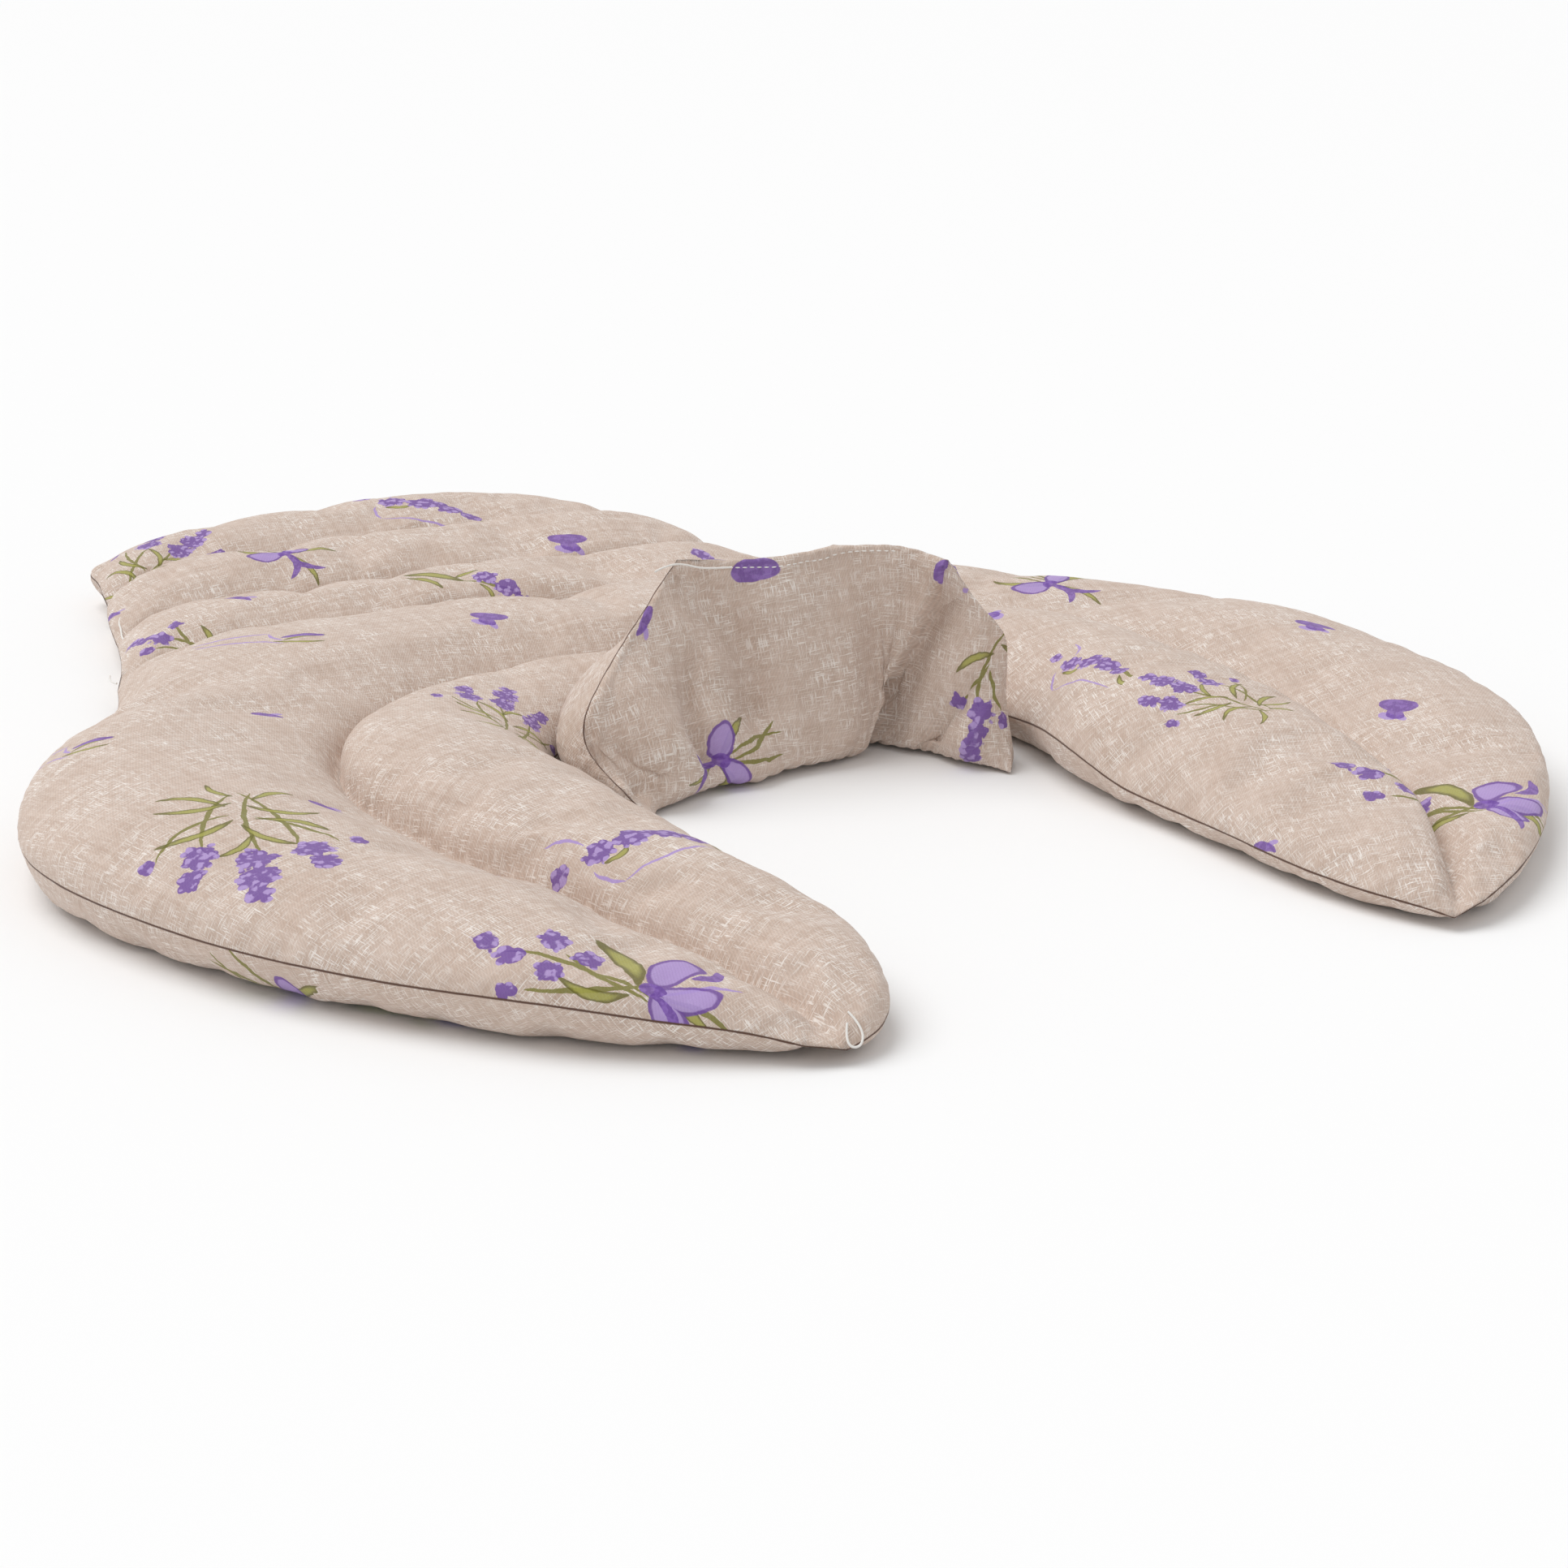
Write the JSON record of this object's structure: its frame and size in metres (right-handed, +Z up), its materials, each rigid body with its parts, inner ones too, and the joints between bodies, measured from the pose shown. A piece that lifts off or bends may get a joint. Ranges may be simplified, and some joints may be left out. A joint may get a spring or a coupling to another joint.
{
  "type": "cherry pit neck pillow",
  "caption": "U-shaped filled heat pad for neck, shoulders and upper back, with sewn channels and a small stand-up collar at the neck opening.",
  "frame": {"origin": "centre of the pillow's bounding box at the surface that it lies on", "axes": "+Z up from the table, +Y towards the back panel, -Y where the two arms point, +X to the right of a viewer in front of the arms"},
  "size_m": [0.5111, 0.6035, 0.0763],
  "materials": {
    "pad_cotton": "matte linen-look cotton, printed with lavender sprigs",
    "collar_cotton": "matte linen-look cotton, printed with lavender sprigs"
  },
  "bodies": {
    "root": {"pad": "pad_cotton", "collar": "collar_cotton"}
  },
  "joints": []
}
